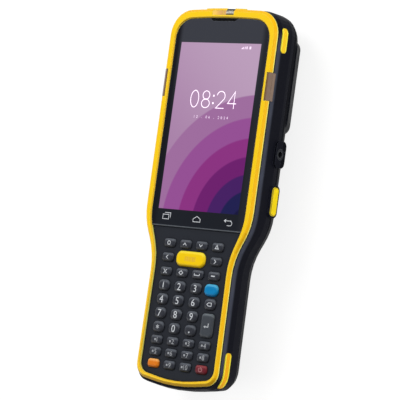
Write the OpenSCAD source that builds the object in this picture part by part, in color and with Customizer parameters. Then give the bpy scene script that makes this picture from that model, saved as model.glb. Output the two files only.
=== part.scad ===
// Handheld barcode data terminal: a wide touch display above a slim keypad grip.
// It lies on its back: X to the right of the display, Y towards the top end and
// Z out of the display. The origin is on the resting plane, under the middle of
// the length and of the width. All sizes are in millimetres.

/* [Display end] */
// Width of the display's picture
display_w = 56.2; // [46:0.1:68]
// Height of the display's picture
display_h = 93.6; // [78:0.1:113]
// Thickness of the display module
display_t = 2.6; // [1.5:0.1:3]
// Glass beside the picture, on each side
glass_border = 4.9; // [4:0.1:8]
// Glass above the picture
glass_brow = 14.2; // [12:0.1:20]
// Glass below the picture, with the touch keys
glass_chin = 9.7; // [6:0.1:14]
// Thickness of the touch glass
glass_t = 1.4; // [0.8:0.1:1.8]
// Corner radius of the glass
glass_corner_r = 11; // [7:0.5:14]

/* [Keypad] */
// Pitch of the key columns
key_pitch_x = 11.3; // [10.8:0.1:14]
// Pitch of the three rows round the scan key
arrow_pitch = 7.9; // [7.7:0.1:10]
// Pitch of the number rows
number_pitch = 7.7; // [7.5:0.1:10]
// Pitch of the function rows
function_pitch = 6.5; // [6:0.1:9]
// From the glass to the centre of the first row
key_brow = 8.9; // [6:0.1:14]
// From the centre of the last row to the rim
key_foot = 8.0; // [6:0.1:14]
// From the centre of the outer keys to the rim
key_side = 8.6; // [7.5:0.1:12]
// Width of a small key
key_w = 7.8; // [6:0.1:9]
// Height of a small key
key_h = 4.8; // [4:0.1:5]
// Height that the keys stand above the panel
key_rise = 1.3; // [1:0.1:1.8]
// Travel of a key
key_travel = 0.7; // [0.3:0.1:0.9]

/* [Rim] */
// Width of the rim beside the display
rim_side = 4.6; // [3.6:0.1:7]
// Width of the rim at the top end
rim_top = 4.9; // [4:0.1:7]
// Width of the rim beside the keypad
rim_grip = 2.7; // [2.2:0.1:5]
// Width of the rim at the bottom end
rim_bottom = 2.6; // [2.2:0.1:5]
// How far the glass lies below the rim's face
glass_recess = 0.5; // [0.3:0.1:1]
// Corner radius of the rim at the top end
rim_top_r = 14; // [10:0.5:18]
// Corner radius of the rim at the bottom end
rim_bottom_r = 8; // [5:0.5:12]

/* [Housings] */
// Thickness from the rim's face to the resting plane
body_t = 33; // [31:0.1:40]
// Wall thickness of the housings
wall = 2.2; // [1.6:0.1:2.6]
// How far the housings stand out past the rim
side_bulge = 0.5; // [0.2:0.1:1]
// How far the housings stand out further at the bottom end
foot_bulge = 1.6; // [0:0.1:2]
// How far the housings stand out further at the two upper corners
corner_bulge = 0.4; // [0:0.1:1]
// From the rim's face to the joint between the two housings
parting_drop = 16.6; // [16.2:0.1:17]
// Rounding of the back behind the display
waist_r = 16; // [13:0.5:18]
// Rounding of the back of the grip
grip_r = 22.5; // [18:0.5:24]
// How far the back of the display end is raised
waist_lift = 3; // [2:0.5:5]

/* [Battery] */
// Width of the battery pack
battery_w = 37; // [30:0.5:40]
// Length of the battery pack
battery_l = 52; // [40:0.5:58]
// Thickness of the battery pack
battery_t = 10.8; // [8:0.1:11.5]
// Thickness of the battery door
door_t = 1.6; // [1.2:0.1:2]

/* [Triggers and socket] */
// Length of a side trigger
trigger_l = 15.6; // [10:0.1:20]
// Height of a side trigger
trigger_h = 5.4; // [4:0.1:7]
// Travel of a side trigger
trigger_travel = 1.0; // [0.5:0.1:1.4]
// From the rim's face to the middle of a side trigger
trigger_drop = 16.6; // [14:0.1:18]
// Radius of the headset socket's bore
jack_r = 1.8; // [1.3:0.1:2]
// Depth of the headset socket's bore
jack_depth = 14; // [10:0.5:16]
// From the rim's face to the middle of the headset socket
jack_drop = 16; // [14:0.1:18]

/* [Hidden] */
$fn = 48;
eps = 0.01;
// How far a cut runs past what it cuts
over = 1;
// Gap round a piece that moves in an opening
gap = 0.15;
rim_black = [0.11, 0.12, 0.15];

// ---- Keypad layout: name, column, row, kind -------------------------------

key_table = [
    ["key_side_left", 0, 0, "small"], ["key_up", 1, 0, "small"],
    ["key_down", 2, 0, "small"], ["key_side_right", 3, 0, "small"],
    ["key_left", 0, 1, "small"], ["key_scan", 1.44, 1, "scan"],
    ["key_right", 3, 1, "small"],
    ["key_escape", 0, 2, "small"], ["key_control", 1, 2, "small"],
    ["key_space", 2, 2, "small"], ["key_minus", 3, 2, "small"],
    ["key_1", 0, 3, "number"], ["key_2", 1, 3, "number"],
    ["key_3", 2, 3, "number"], ["key_blue", 2.96, 3, "blue"],
    ["key_4", 0, 4, "number"], ["key_5", 1, 4, "number"],
    ["key_6", 2, 4, "number"], ["key_backspace", 3, 4, "number"],
    ["key_7", 0, 5, "number"], ["key_8", 1, 5, "number"],
    ["key_9", 2, 5, "number"], ["key_enter", 3, 5.5, "enter"],
    ["key_star", 0, 6, "number"], ["key_0", 1, 6, "number"],
    ["key_point", 2, 6, "number"],
    ["key_f1", 0, 7, "small"], ["key_f2", 1, 7, "small"],
    ["key_f3", 2, 7, "small"], ["key_f4", 3, 7, "small"],
    ["key_f5", 0, 8, "small"], ["key_f6", 1, 8, "small"],
    ["key_f7", 2, 8, "small"], ["key_f8", 3, 8, "small"],
    ["key_orange", 0, 9, "orange"], ["key_f9", 1, 9, "small"],
    ["key_f10", 2, 9, "small"], ["key_power", 3, 9, "power"],
];

// Gaps between the rows, from the first to the last
row_gaps = [
    arrow_pitch, arrow_pitch, number_pitch, number_pitch, number_pitch,
    number_pitch, (number_pitch + function_pitch) / 2, function_pitch, function_pitch,
];
function total(list, count) = count == 0 ? 0 : list[count - 1] + total(list, count - 1);
keypad_l = key_brow + total(row_gaps, len(row_gaps)) + key_foot;

// ---- Plan: lines across the length -----------------------------------------

body_l = rim_top + glass_brow + display_h + glass_chin + keypad_l + rim_bottom;
top_y = (body_l + foot_bulge) / 2;
bottom_y = top_y - body_l;
glass_top_y = top_y - rim_top;
display_y = glass_top_y - glass_brow - display_h / 2;
step_y = display_y - display_h / 2 - glass_chin;
foot_y = step_y - keypad_l;
glass_half_w = display_w / 2 + glass_border;
rim_half_w = glass_half_w + rim_side;
panel_half_w = 1.5 * key_pitch_x + key_side;
grip_half_w = panel_half_w + rim_grip;

function row_y(row) =
    let (low = floor(row), high = ceil(row))
    step_y - key_brow - (total(row_gaps, low) + total(row_gaps, high)) / 2;
function column_x(column) = (column - 1.5) * key_pitch_x;

// ---- Heights, from the rim's face down -------------------------------------

face_z = body_t;
parting_z = face_z - parting_drop;
glass_top_z = face_z - glass_recess;
glass_z = glass_top_z - glass_t;
housing_z = glass_z;
display_z = glass_z - display_t;
deck_t = 1.6;
deck_gap = 0.1;
deck_z = display_z - deck_gap - deck_t;
panel_t = 1.5;
panel_sink = 1.1;
panel_z = housing_z - panel_sink;
panel_top_z = panel_z + panel_t;
board_t = 1.2;
board_gap = 0.2;
board_z = deck_z - board_gap - board_t;
mat_t = 0.9;
mat_z = board_z + board_t;
key_flange_t = 0.6;
key_flange_w = 0.4;
key_flange_z = panel_z - gap - key_flange_t;
key_top_z = panel_top_z + key_rise;
dome_top_z = key_flange_z - key_travel - gap;

// ---- Outline: a half loop of rounded corners ---------------------------------

// Bow of the two ends
top_bow = 1.2;
bottom_bow = 3.2;
// Radius that blends a bow at its middle, as a share of the arc through its middle and ends
bow_share = 0.75;
// How far the neck starts above the step and ends below it
shoulder_rise = 3.7;
neck_drop = 15.5;
shoulder_r = 34;
neck_r = 40;
grip_flare = 0.7;
// How much smaller the rim's inner corners are at the bottom end
inner_step = 2;

arc_steps = [4, 8, 4, 4, 7, 4];
line_steps = [1, 5, 1, 4, 1];

function unit(v) = v / norm(v);
function turn(a) = a - 360 * round(a / 360);
function flip(p) = [-p[0], p[1]];

function bow_r(half_w, bow) = bow_share * (half_w * half_w + bow * bow) / (2 * bow);
// How far the sharp corner, whose rounding touches the middle of a bowed end, lies past it:
// the slope of the two sides comes from the quadratic for an arc tangent to both
function bow_rise(half_w, bow) =
    let (
        r = bow_r(half_w, bow),
        c = r - bow,
        a = r * r - half_w * half_w,
        slope = (c * half_w - sqrt(c * c * half_w * half_w - a * (r * r - c * c))) / a
    )
    slope * half_w - bow;

// Points [x, y, nx, ny] of the arc that rounds corner q between p and s
function corner(p, q, s, r, n) =
    let (
        u = unit(p - q),
        v = unit(s - q),
        half = acos(u * v) / 2,
        centre = q + unit(u + v) * r / sin(half),
        from = q + u * r / tan(half) - centre,
        to = q + v * r / tan(half) - centre,
        start = atan2(from[1], from[0]),
        sweep = turn(atan2(to[1], to[0]) - start),
        side = sweep < 0 ? 1 : -1
    )
    [for (i = [0:n])
        let (a = start + sweep * i / n, d = [cos(a), sin(a)])
        [centre[0] + r * d[0], centre[1] + r * d[1], side * d[0], side * d[1]]];

function spot(v) = [v[0], v[1]];

// Half loop from the top middle to the bottom middle, for corners [x, y, r]
function half_loop(v) =
    let (
        last = len(v) - 1,
        arcs = [for (i = [0:last]) corner(
            i == 0 ? flip(v[1]) : spot(v[i - 1]), spot(v[i]),
            i == last ? flip(v[last - 1]) : spot(v[i + 1]), v[i][2], arc_steps[i])],
        parts = [for (i = [0:last])
            i == 0 ? [for (j = [arc_steps[0] / 2:arc_steps[0]]) arcs[0][j]]
            : i == last ? [for (j = [0:arc_steps[last] / 2]) arcs[last][j]]
            : arcs[i]]
    )
    [for (i = [0:last], p = concat(parts[i], i == last ? [] : between(parts[i], parts[i + 1], line_steps[i]))) p];
function between(a, b, n) =
    let (p = a[len(a) - 1], q = b[0])
    n < 2 ? [] : [for (i = [1:n - 1]) p + (q - p) * i / n];

rim_corners = [
    [0, top_y + bow_rise(rim_half_w, top_bow), bow_r(rim_half_w, top_bow)],
    [rim_half_w, top_y - top_bow, rim_top_r],
    [rim_half_w, step_y + shoulder_rise, shoulder_r],
    [grip_half_w, step_y - neck_drop, neck_r],
    [grip_half_w + grip_flare, bottom_y + bottom_bow, rim_bottom_r],
    [0, bottom_y - bow_rise(grip_half_w, bottom_bow), bow_r(grip_half_w, bottom_bow)],
];
inner_corners = [
    [0, glass_top_y + bow_rise(glass_half_w, top_bow), bow_r(glass_half_w, top_bow)],
    [glass_half_w, glass_top_y - top_bow, glass_corner_r],
    [glass_half_w, step_y + shoulder_rise, shoulder_r],
    [panel_half_w, step_y - neck_drop, neck_r],
    [panel_half_w + grip_flare, foot_y + bottom_bow, rim_bottom_r - inner_step],
    [0, foot_y - bow_rise(panel_half_w, bottom_bow), bow_r(panel_half_w, bottom_bow)],
];
rim_half = half_loop(rim_corners);
inner_half = half_loop(inner_corners);
// Outline of the housings: the rim's, pushed out at the bottom end and at the upper corners
function body_push(p) =
    p[3] < 0 && p[1] < bottom_y / 2 ? [0, foot_bulge * p[3], 0, 0]
    : p[3] > 0 && p[1] > top_y / 2 ? 2 * corner_bulge * p[2] * p[3] * [p[2], p[3], 0, 0]
    : [0, 0, 0, 0];
body_half = [for (p = rim_half) p + body_push(p)];
half_count = len(rim_half);
loop_count = 2 * half_count - 2;

// Full clockwise loop from half a loop of [x, y, z] points
function full(half) = concat(half, [for (i = [half_count - 2:-1:1]) [-half[i][0], half[i][1], half[i][2]]]);
// Full loop at height z, pushed out by d along the outline's normals
function level(half, z, d) = full([for (p = half) [p[0] + d * p[2], p[1] + d * p[3], z]]);
// The same loop in the plane
function flat(half, d) = [for (p = level(half, 0, d)) [p[0], p[1]]];

function pair(n, k, i, j) = [k * n + i, (k + 1) * n + i, (k + 1) * n + j];
function other(n, k, i, j) = [k * n + i, (k + 1) * n + j, k * n + j];
function sides(n, bands) = [for (k = [0:bands - 1], i = [0:n - 1])
    let (j = (i + 1) % n) each [pair(n, k, i, j), other(n, k, i, j)]];

// Closed skin over loops of equal length, from the highest to the lowest
module skin(loops) {
    n = len(loops[0]);
    last = (len(loops) - 1) * n;
    polyhedron(
        [for (l = loops, p = l) p],
        concat(sides(n, len(loops) - 1), [[for (i = [0:n - 1]) i]],
            [[for (i = [n - 1:-1:0]) last + i]]));
}

// ---- Body form: the shared outside of both housings -------------------------

edge_band = 3.2;
edge_inset = 0.7;
top_end_r = 8;
bottom_end_r = 14;
turn_start_y = step_y + 48;
turn_end_y = step_y - 17;
lift_l = 46;

function ease(t) = let (c = min(1, max(0, t))) c * c * (3 - 2 * c);
// 0 behind the display and 1 behind the keypad
function grip_share(y) = ease((turn_start_y - y) / (turn_start_y - turn_end_y));
function back_r(y) = waist_r + (grip_r - waist_r) * grip_share(y);
// The back rises from the grip towards the hump
function back_z(y) = waist_lift * ease((y - step_y) / lift_l);
function end_r(y) = y > 0 ? top_end_r : bottom_end_r;
// Half-width that the rounding shrinks: that of the side next to an end
function side_w(p) =
    p[1] > top_y - rim_top_r ? rim_half_w
    : p[1] < bottom_y + rim_bottom_r + bottom_bow ? grip_half_w + grip_flare : p[0];

// One loop of the rounding, at angle a from the side (0) to the back (90)
function round_loop(d, inset, a) = full([for (p = body_half)
    let (
        r = back_r(p[1]) - inset,
        sx = 1 - r * (1 - cos(a)) / side_w(p),
        sy = 1 - end_r(p[1]) * (1 - cos(a)) / top_y
    )
    [(p[0] + d * p[2]) * sx, (p[1] + d * p[3]) * sy, back_z(p[1]) + inset + r * (1 - sin(a))]]);

// Back of the last loop: strips from side to side, because its height varies along Y
function back_strips(first) = [for (i = [0:half_count - 2])
    let (
        l = (loop_count - i) % loop_count,
        m = loop_count - i - 1,
        right = [first + i + 1, first + i, first + l],
        left = [first + i + 1, first + l, first + m]
    )
    each (i == 0 ? [[first + 1, first, first + m]]
        : i == half_count - 2 ? [right] : [right, left])];

// The body's outside moved in by inset, from height top down to the back
module body_form(inset, top, angles) {
    d = side_bulge - inset;
    upper = inset > 0
        ? [level(body_half, top, d)]
        : [level(body_half, top, d - edge_inset), level(body_half, top - edge_band, d)];
    loops = concat(upper, [for (a = angles) round_loop(d, inset, a)]);
    polyhedron(
        [for (l = loops, p = l) p],
        concat(sides(loop_count, len(loops) - 1), [[for (i = [0:loop_count - 1]) i]],
            back_strips((len(loops) - 1) * loop_count)));
}
fine_angles = [0, 18, 36, 54, 72, 90];
coarse_angles = [0, 30, 60, 90];
module outside() body_form(0, housing_z, fine_angles);
module inside(top) body_form(wall, top, coarse_angles);

// ---- Small shared shapes ------------------------------------------------------

// Box from its lowest to its highest corner
module span(low, high) translate(low) cube(high - low);
module slab(z0, z1) translate([0, 0, z0]) linear_extrude(z1 - z0) children();
module rounded(w, h, r) {
    square([w - 2 * r, h], center = true);
    square([w, h - 2 * r], center = true);
    for (x = [-1, 1], y = [-1, 1]) translate([x * (w / 2 - r), y * (h / 2 - r)]) circle(r);
}
module along_x(x0, x1, r) translate([x0, 0, 0]) rotate([0, 90, 0]) cylinder(h = x1 - x0, r = r);
module both_sides() {
    children();
    mirror([1, 0, 0]) children();
}
// Everything with y over or under a line, in the plane
module above(y) translate([-body_l, y]) square([2 * body_l, 2 * body_l]);
module below(y) translate([-body_l, y - 2 * body_l]) square([2 * body_l, 2 * body_l]);

// ---- Back hump, screws, battery bay and hinge -------------------------------------

hump_top_y = display_y + 54;
hump_bottom_y = display_y + 2;
hump_side = 7.3;
hump_half_w = rim_half_w - hump_side;
hump_side_flare = 6.6;
hump_end_flare = 1.8;
hump_z = 12;
hump_edge_t = 0.5;
hump_corner_r = [5, 8];
module hump() {
    middle = (hump_top_y + hump_bottom_y) / 2;
    length = hump_top_y - hump_bottom_y;
    translate([0, middle, 0]) hull() {
        slab(0, hump_edge_t) rounded(2 * hump_half_w, length, hump_corner_r[0], $fn = 32);
        slab(hump_z - hump_edge_t, hump_z)
            rounded(2 * (hump_half_w + hump_side_flare), length + 2 * hump_end_flare, hump_corner_r[1], $fn = 32);
    }
}

screw_r = 1.0;
screw_head_r = 2.0;
screw_head_t = 1.3;
screw_boss_r = 3.1;
screw_seat_z = 7.5;
screw_grip = 8;
thread_gap = 0.02;
boss_gap = 0.3;
boss_rib_t = 2.4;
screw_top_z = parting_z + screw_grip;
upper_screw = [23.5, display_y + 46];
middle_screw = [28.5, display_y - 36];
lower_screw = [15, foot_y + 8.5];
module at_screws() for (p = [upper_screw, middle_screw, lower_screw], x = [-1, 1])
    translate([x * p[0], p[1], 0]) children();

bay_gap = 0.4;
bay_roof_t = 1.2;
bay_half_w = battery_w / 2 + bay_gap;
battery_bevel = 6;
door_recess = 0.4;
door_rim_z = 9;
// Height of the door's inner face at x, behind the grip
function door_inner_z(x) =
    let (c = grip_half_w + side_bulge - grip_r, r = grip_r - door_recess - door_t)
    abs(x) <= c ? grip_r - r : grip_r - sqrt(r * r - (abs(x) - c) * (abs(x) - c));
battery_z = door_inner_z(battery_w / 2 - battery_bevel) + bay_gap;
battery_side_rise = 1;
battery_side_z = door_inner_z(battery_w / 2) + bay_gap + battery_side_rise;
battery_top_z = battery_z + battery_t;
bay_top_z = battery_top_z + bay_gap;
bay_roof_z = bay_top_z + bay_roof_t;
door_side = 2.2;
door_half_w = battery_w / 2 + door_side;
hinge_offset = 23.5;
door_corner_r = 8;
door_gap = 0.35;
hinge_r = 0.8;
knuckle_r = 1.8;
// Keeps the knuckle just inside the door's outer face
knuckle_sink = 0.05;
hinge_z = door_recess + knuckle_sink + knuckle_r;
hinge_setback = 1.9;
scoop_r = 3;
hinge_y = foot_y + hinge_offset;
bay_start_y = hinge_y + scoop_r + battery_l + 2 * bay_gap;
door_lap = 3;
door_y0 = hinge_y - hinge_setback;
door_y1 = bay_start_y + door_lap;
door_seat_gap = 0.15;
block_wall = 1.6;
block_end = 1.2;
notch_r = 8;
notch_l = 18;
notch_depth = 1.6;
knuckle_half_l = 4.5;
lug_l = 2.6;
hinge_play = 0.05;
lug_gap = 0.3;
lug_stem = 2.8;
lug_root = 0.4;

module door_plan(extra) translate([0, (door_y0 + door_y1) / 2])
    rounded(2 * (door_half_w + extra), door_y1 - door_y0 + 2 * extra, door_corner_r + extra);

// ---- Scan window, triggers, socket ---------------------------------------------

window_w = 31;
window_h = 10.6;
window_t = 1.2;
window_r = 2.4;
window_lap = 1.2;
// How far the window lies above the parting plane and inside the end
window_rise = 0.8;
window_sink = 0.4;
window_z = parting_z + window_h / 2 + window_rise;
window_y = top_y + side_bulge - window_t - window_sink;
trigger_y = display_y - 36.8;
trigger_z = face_z - trigger_drop;
trigger_proud = 0.3;
trigger_rise = trigger_travel + trigger_proud;
trigger_flange = 1.0;
trigger_flange_t = 1.2;
trigger_flange_r = 2.2;
trigger_r = 1.9;
// Room behind the flange, and width and rise of the frame round the trigger
trigger_room = 0.5;
trigger_frame_w = 0.9;
trigger_frame_rise = 0.7;
trigger_cap_t = 0.5;
side_x = rim_half_w + side_bulge;
flange_gap = 0.3;
// Outer face of a trigger's flange, behind the wall
trigger_x = side_x - wall - flange_gap;
jack_y = display_y - 11;
jack_z = face_z - jack_drop;
jack_wall = 1.3;
boss_rise = 1.3;
boss_rim = 1.2;
boss_half_l = 7.4;
boss_corner_r = 3;
socket_gap = 0.1;
socket_sink = 0.3;
camera_y = display_y + 36;
camera_r = 5.2;
camera_top_z = 9;
// Camera's face: radius and height of the glass, of the funnel round it and of the ring
camera_glass_r = 2;
camera_glass_z = [1.6, 1.2];
camera_ring_r = 2.6;
camera_sink = 0.5;
camera_gap = 0.1;

// ---- Corner inserts: bands let into the sides near the four corners --------------

insert_depth = 1.1;
insert_rise = 0.3;
insert_w = 4.8;
insert_gap = 0.1;
insert_r = 2;
insert_z = face_z - 7.3;
// Lowest and highest Y of each insert
upper_insert = [display_y + 43.2, display_y + 56.8];
lower_insert = [foot_y - 0.7, foot_y + 18.9];
module insert_band(ends, extra) intersection() {
    slab(insert_z - insert_w, insert_z + insert_w) difference() {
        polygon(flat(body_half, side_bulge + (extra > 0 ? over : insert_rise)));
        polygon(flat(body_half, side_bulge - insert_depth - extra));
    }
    both_sides() translate([grip_half_w / 2, (ends[0] + ends[1]) / 2, insert_z]) rotate([90, 0, 90])
        linear_extrude(body_l)
            rounded(ends[1] - ends[0] + 2 * extra, insert_w + 2 * extra, insert_r + extra);
}

// ---- Parts -------------------------------------------------------------------

panel_ledge = 1.5;
// Inner face of the bottom end's wall, in its middle
end_wall_y = bottom_y - foot_bulge - side_bulge + wall;
module front_housing() color(rim_black) {
    difference() {
        union() {
            intersection() {
                outside();
                span([-body_l, -body_l, parting_z], [body_l, body_l, body_t]);
            }
            intersection() {
                side_bosses();
                span([-body_l, -body_l, parting_z], [body_l, body_l, body_t]);
            }
        }
        // Room for the works, up to the deck under the display
        intersection() {
            inside(housing_z);
            span([-body_l, -body_l, parting_z - over], [body_l, body_l, deck_z]);
        }
        // Pocket of the display, recess of the keypad panel and the opening under it
        slab(display_z - deck_gap, housing_z + over) display_plan(display_gap);
        slab(panel_z, housing_z + over) intersection() {
            polygon(flat(inner_half, 0));
            below(step_y);
        }
        slab(deck_z - over, housing_z + over) intersection() {
            polygon(flat(inner_half, -panel_ledge));
            below(step_y - panel_ledge);
        }
        for (ends = [upper_insert, lower_insert]) insert_band(ends, insert_gap);
        side_lens_cut();
        scan_opening();
        both_sides() trigger_opening();
        socket_hole();
    }
    difference() {
        union() {
            for (p = [upper_screw, middle_screw], x = [-1, 1])
                translate([x * p[0], p[1], 0]) cylinder_between(parting_z, deck_z + deck_t / 3, screw_boss_r);
            for (x = [-1, 1]) translate([x * lower_screw[0], lower_screw[1], 0]) {
                cylinder_between(parting_z, board_z - boss_gap, screw_boss_r);
                // Rib that ties the boss to the end wall
                span([-boss_rib_t / 2, end_wall_y - lower_screw[1], parting_z],
                    [boss_rib_t / 2, 0, board_z - boss_gap]);
            }
        }
        at_screws() cylinder_between(parting_z - over, screw_top_z + over, screw_r + thread_gap);
    }
}
module cylinder_between(z0, z1, r) translate([0, 0, z0]) cylinder(h = z1 - z0, r = r);

module socket_boss() translate([side_x - wall, jack_y, jack_z]) rotate([0, 90, 0])
    linear_extrude(wall + boss_rise) rounded(2 * (jack_r + jack_wall + boss_rim), 2 * boss_half_l, boss_corner_r);
module socket_hole() translate([0, jack_y, jack_z])
    along_x(side_x - jack_depth - over, side_x + boss_rise + over, jack_r + jack_wall + socket_gap);
// Prism over a rounded plan of height h (Z) and length l (Y), from x0 to x1
module side_prism(x0, x1, h, l, r) translate([x0, 0, 0]) rotate([0, 90, 0]) linear_extrude(x1 - x0) rounded(h, l, r);
module trigger_frame() translate([0, trigger_y, trigger_z]) {
    edge = gap + trigger_frame_w;
    side_prism(side_x - wall, side_x + trigger_frame_rise,
        trigger_h + 2 * edge, trigger_l + 2 * edge, trigger_r + edge);
}
module side_bosses() {
    socket_boss();
    both_sides() trigger_frame();
}
module trigger_opening() translate([0, trigger_y, trigger_z]) {
    cut_l = trigger_l + 2 * gap;
    cut_h = trigger_h + 2 * gap;
    pocket_x = trigger_x - trigger_flange_t - trigger_travel - trigger_room;
    // Pocket behind the wall, in which the flange travels
    side_prism(pocket_x, trigger_x + gap, cut_h + 2 * trigger_flange, cut_l + 2 * trigger_flange, trigger_flange_r);
    side_prism(trigger_x - over, side_x + trigger_frame_rise + over, cut_h, cut_l, trigger_r + gap);
}
// Prism over a rounded plan of width w (X) and height h (Z), from y0 to y1
module end_prism(y0, y1, w, h, r) translate([0, y0, window_z]) rotate([-90, 0, 0])
    linear_extrude(y1 - y0) rounded(w, h, r);
module scan_opening() {
    end_prism(window_y, top_y + 2 * over, window_w + 2 * gap, window_h + 2 * gap, window_r + gap);
    end_prism(scan_engine_y + scan_engine_size[1] - over, top_y,
        window_w - 2 * window_lap, window_h - 2 * window_lap, window_r - window_lap / 2);
}

module rear_housing() color(rim_black) {
    difference() {
        union() {
            difference() {
                union() {
                    intersection() {
                        outside();
                        span([-body_l, -body_l, -over], [body_l, body_l, parting_z]);
                    }
                    hump();
                    intersection() {
                        side_bosses();
                        span([-body_l, -body_l, -over], [body_l, body_l, parting_z]);
                    }
                }
                // Room for the works, except round the battery bay
                difference() {
                    intersection() {
                        inside(housing_z);
                        span([-body_l, -body_l, -over], [body_l, body_l, parting_z + over]);
                    }
                    slab(-over, bay_roof_z) bay_block_plan();
                    at_screws() cylinder_between(-over, parting_z + 2 * over, screw_boss_r);
                }
            }
            if (bay_roof_z > parting_z) slab(parting_z - eps, bay_roof_z) bay_box_plan();
        }
        // Seat of the door, below the outside
        difference() {
            slab(-over, door_rim_z + door_gap) door_plan(door_gap);
            body_form(door_t + door_recess + door_seat_gap, housing_z, fine_angles);
        }
        slab(-over, bay_top_z) bay_plan();
        hinge_scoop();
        // Thumb notch past the door's free end
        translate([0, door_y1 + door_lap, notch_depth - notch_r])
            along_x(-notch_l / 2, notch_l / 2, notch_r);
        both_sides() trigger_opening();
        socket_hole();
        at_screws() cylinder_between(-over, screw_seat_z, screw_head_r + gap);
        at_screws() cylinder_between(-over, parting_z + over, screw_r + gap);
        translate([0, camera_y, 0]) cylinder_between(-over, camera_top_z + over, camera_r + camera_gap);
    }
    hinge_lugs();
}
bay_end_y = hinge_y + scoop_r / 2;
module bay_plan() translate([-bay_half_w, bay_end_y]) square([2 * bay_half_w, bay_start_y - bay_end_y]);
module bay_box_plan() offset(delta = bay_roof_t) bay_plan();
module bay_block_plan() translate([-door_half_w - block_wall, hinge_y - scoop_r - block_wall])
    square([2 * (door_half_w + block_wall), door_y1 - hinge_y + scoop_r + 2 * block_wall + block_end]);
module hinge_scoop() {
    w = door_half_w + door_gap;
    translate([0, hinge_y, hinge_z]) along_x(-w, w, scoop_r);
    span([-w, hinge_y - scoop_r, -over], [w, hinge_y + scoop_r, hinge_z]);
}
// Inner and outer end of the lug on each side of the door's knuckle
lug_x = knuckle_half_l + lug_gap;
lug_end_x = lug_x + lug_l;
module hinge_lugs() both_sides() difference() {
    union() {
        translate([0, hinge_y, hinge_z]) along_x(lug_x, lug_end_x, knuckle_r);
        span([lug_x, hinge_y - lug_stem / 2, hinge_z],
            [lug_end_x, hinge_y + lug_stem / 2, hinge_z + scoop_r + lug_root]);
    }
    translate([0, hinge_y, hinge_z]) along_x(lug_x - over, lug_end_x + over, hinge_r + thread_gap);
}

module battery_door() color(rim_black) {
    difference() {
        union() {
            difference() {
                intersection() {
                    body_form(door_recess, housing_z, fine_angles);
                    slab(-over, door_rim_z) door_plan(0);
                }
                body_form(door_recess + door_t, housing_z, fine_angles);
            }
            translate([0, hinge_y, hinge_z]) along_x(-knuckle_half_l, knuckle_half_l, knuckle_r);
        }
        translate([0, hinge_y, hinge_z]) along_x(-door_half_w, door_half_w, hinge_r + hinge_play);
        // Room for the housing's lugs
        both_sides() {
            translate([0, hinge_y, hinge_z]) along_x(knuckle_half_l, lug_end_x + lug_gap, knuckle_r + lug_gap);
            span([knuckle_half_l, door_y0 - over, -over], [lug_end_x + lug_gap, hinge_y, hinge_z + knuckle_r]);
        }
    }
}
module hinge_pin() color("silver") translate([0, hinge_y, hinge_z]) along_x(-lug_end_x, lug_end_x, hinge_r);

module battery_pack() color([0.16, 0.17, 0.2]) {
    translate([0, bay_start_y - bay_gap, 0]) rotate([90, 0, 0]) linear_extrude(battery_l) polygon([
        [-battery_w / 2, battery_top_z], [battery_w / 2, battery_top_z],
        [battery_w / 2, battery_side_z], [battery_w / 2 - battery_bevel, battery_z],
        [-battery_w / 2 + battery_bevel, battery_z], [-battery_w / 2, battery_side_z],
    ]);
}

bevel_out = 1.5;
bevel_drop = 1.3;
bevel_in = 0.6;
// Where the outer bevel breaks, as shares of its width and height from the rim's side and face
bevel_break = [0.6, 0.27];
module bumper_rim() color([0.98, 0.8, 0.04]) difference() {
    union() {
        rim_loops();
        slab(housing_z, face_z - bevel_drop) intersection() {
            difference() {
                polygon(flat(rim_half, side_bulge));
                polygon(flat(rim_half, -over));
            }
            translate([-tab_half_w, 0]) square([2 * tab_half_w, body_l]);
        }
    }
    for (cell = lens_cells) status_cell(cell, lens_gap);
    status_notch();
    side_lens_cut();
}
tab_half_w = 14;
// The rim's section as loops: out and over the top, then down the inside
module rim_loops() {
    loops = [
        level(rim_half, housing_z, 0),
        level(rim_half, face_z - bevel_drop, 0),
        level(rim_half, face_z - bevel_break[1] * bevel_drop, -bevel_break[0] * bevel_out),
        level(rim_half, face_z, -bevel_out),
        level(inner_half, face_z, bevel_in),
        level(inner_half, face_z - bevel_in, 0),
        level(inner_half, housing_z, 0),
    ];
    n = loop_count;
    count = len(loops);
    polyhedron([for (l = loops, p = l) p], [for (k = [0:count - 1], i = [0:n - 1])
        let (j = (i + 1) % n, a = k * n, b = ((k + 1) % count) * n)
        each [[a + i, b + j, b + i], [a + i, a + j, b + j]]]);
}

lens_l = 15.4;
lens_w = 2.7;
lens_y = display_y + 23.7;
lens_gap = 0.05;
// How far a side lens stands past the rim's side, lies below its face and reaches down the housing
lens_out = 0.3;
lens_sink = 0.2;
lens_drop = 2.2;
lens_x = rim_half_w - lens_w;
lens_z = housing_z - lens_drop;
// Prism along Y over a section in X and Z, on both sides
module lens_prism(extra) both_sides() translate([0, lens_y + lens_l / 2 + extra, 0]) rotate([90, 0, 0])
    linear_extrude(lens_l + 2 * extra) children();
module side_lenses() color([0.5, 0.42, 0.36]) lens_prism(0) polygon([
    [lens_x, face_z - lens_sink], [rim_half_w - bevel_out, face_z - lens_sink],
    [rim_half_w + lens_out, face_z - lens_sink - bevel_drop], [rim_half_w + lens_out, lens_z], [lens_x, lens_z],
]);
module side_lens_cut() lens_prism(lens_gap) translate([lens_x - lens_gap, lens_z - lens_gap])
    square([body_l, body_l]);

// Left edge and width of each window of the status light
lens_cells = [[-8.4, 7.2], [-0.9, 7.2]];
cell_t = 1.6;
cell_sink = 0.15;
cell_margin = [1.5, 1.0];
cell_y0 = glass_top_y + cell_margin[0];
cell_y1 = top_y - cell_margin[1];
module status_cell(cell, extra) span(
    [cell[0] - extra, cell_y0 - extra, face_z - cell_t - extra],
    [cell[0] + cell[1] + extra, cell_y1 + extra, face_z + (extra > 0 ? over : -cell_sink)]);
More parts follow.
